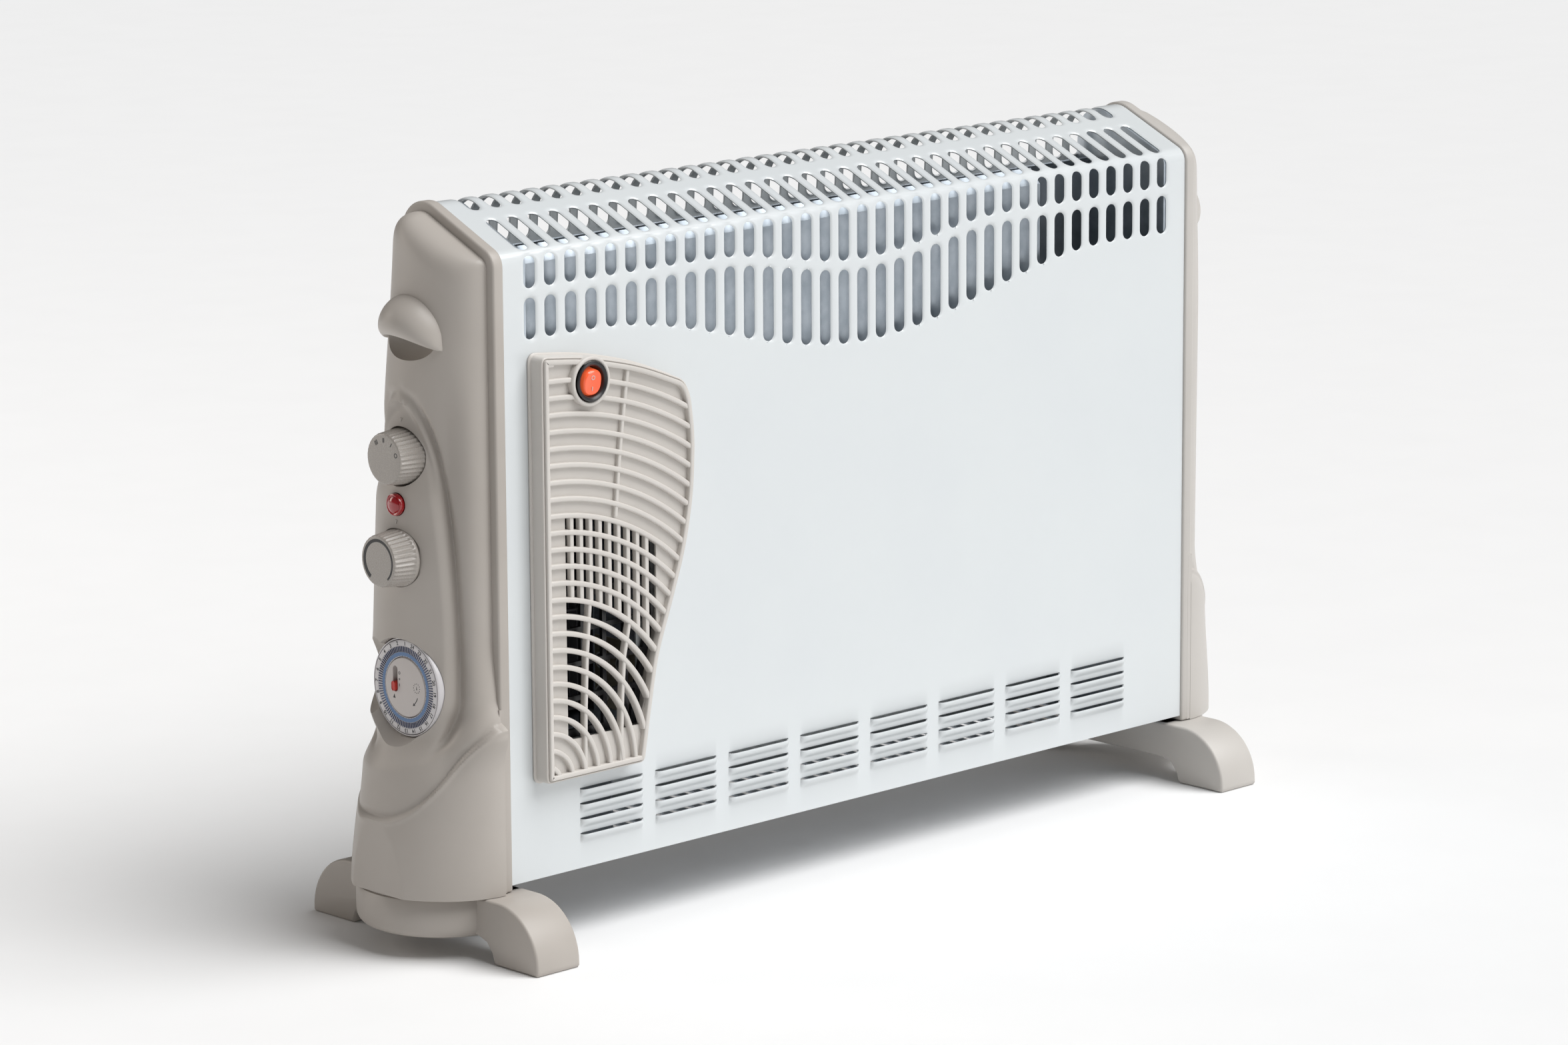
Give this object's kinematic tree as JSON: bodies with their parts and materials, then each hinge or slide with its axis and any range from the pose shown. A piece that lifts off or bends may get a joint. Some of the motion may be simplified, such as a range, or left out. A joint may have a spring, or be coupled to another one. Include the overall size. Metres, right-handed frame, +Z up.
{
  "type": "fan convector heater",
  "caption": "Free-standing convector heater: slotted steel casing between moulded end caps on feet, with a fan outlet, selector, thermostat and timer.",
  "frame": {"origin": "on the floor, under the middle of the four foot pads", "axes": "+X along the width towards the end cap without controls, the front panel faces -Y, +Z up"},
  "size_m": [0.68, 0.1988, 0.4307],
  "materials": {
    "casing_enamel": "gloss",
    "galvanised_steel": "satin",
    "cap_plastic": "satin",
    "knob_plastic": "satin",
    "zinc_steel": "satin",
    "black_plastic": "satin",
    "red_lens": "gloss",
    "neon_glass": "gloss",
    "dial_white": "satin",
    "segment_blue": "satin",
    "slider_red": "satin",
    "cover_plastic": "satin",
    "rocker_red": "gloss",
    "fan_plastic": "satin",
    "bearing_bronze": "satin",
    "coil_copper": "satin",
    "mica": "matte",
    "ceramic": "matte",
    "resistance_wire": "satin"
  },
  "bodies": {
    "housing": {"casing_wrap": "casing_enamel", "bottom_plate": "galvanised_steel", "left_bulkhead": "galvanised_steel", "right_bulkhead": "galvanised_steel", "front_heat_shield": "galvanised_steel", "rear_heat_shield": "galvanised_steel", "left_end_cap": "cap_plastic", "right_end_cap": "cap_plastic", "left_foot": "cap_plastic", "right_foot": "cap_plastic", "foot_screws": "zinc_steel", "cap_screws": "zinc_steel", "control_bracket": "galvanised_steel", "bracket_screws": "zinc_steel", "selector_switch": "black_plastic", "thermostat_body": "black_plastic", "indicator_lens": "red_lens", "neon_lamp": "neon_glass", "timer_housing": "cap_plastic", "timer_face": "dial_white", "fan_cover": "cover_plastic", "fan_guard": "black_plastic", "cover_screws": "zinc_steel", "rocker_bezel": "black_plastic", "rocker_switch_body": "black_plastic", "fan_housing": "galvanised_steel", "fan_bearings": "bearing_bronze", "motor_core": "zinc_steel", "motor_coil": "coil_copper", "motor_bracket": "galvanised_steel", "element_cards": "mica", "heating_coils": "resistance_wire", "coil_beads": "ceramic", "element_clips": "galvanised_steel", "thermal_cutout": "black_plastic", "terminal_block": "black_plastic", "cord_inlet": "black_plastic"},
    "selector": {"selector_knob": "knob_plastic", "selector_shaft": "zinc_steel"},
    "thermostat": {"thermostat_knob": "knob_plastic", "thermostat_shaft": "zinc_steel"},
    "timer_wheel": {"timer_dial": "dial_white", "timer_segments": "segment_blue"},
    "timer_switch": {"timer_slider": "slider_red"},
    "rocker": {"rocker_button": "rocker_red"},
    "fan": {"fan_impeller": "fan_plastic", "fan_shaft": "zinc_steel", "motor_rotor": "zinc_steel"}
  },
  "joints": [
    {"name": "selector_turn", "type": "hinge", "parent": "housing", "child": "selector", "pos_m": [-0.32, -0.004, 0.2893], "axis": [-1, 0, 0], "range_deg": [-36, 72]},
    {"name": "thermostat_turn", "type": "hinge", "parent": "housing", "child": "thermostat", "pos_m": [-0.325, -0.004, 0.2313], "axis": [-1, 0, 0], "range_deg": [-140, 130]},
    {"name": "timer_spin", "type": "hinge", "parent": "housing", "child": "timer_wheel", "pos_m": [-0.322, -0.004, 0.1551], "axis": [-1, 0, 0], "continuous": true},
    {"name": "timer_slide", "type": "slide", "parent": "housing", "child": "timer_switch", "axis": [0, 0, 1], "range_m": [0, 0.008]},
    {"name": "rocker_tip", "type": "hinge", "parent": "housing", "child": "rocker", "pos_m": [-0.23, -0.062, 0.3285], "axis": [1, 0, 0], "range_deg": [-18, 0]},
    {"name": "fan_spin", "type": "hinge", "parent": "housing", "child": "fan", "pos_m": [-0.2145, -0.008, 0.188], "axis": [0, 0, 1], "continuous": true}
  ]
}
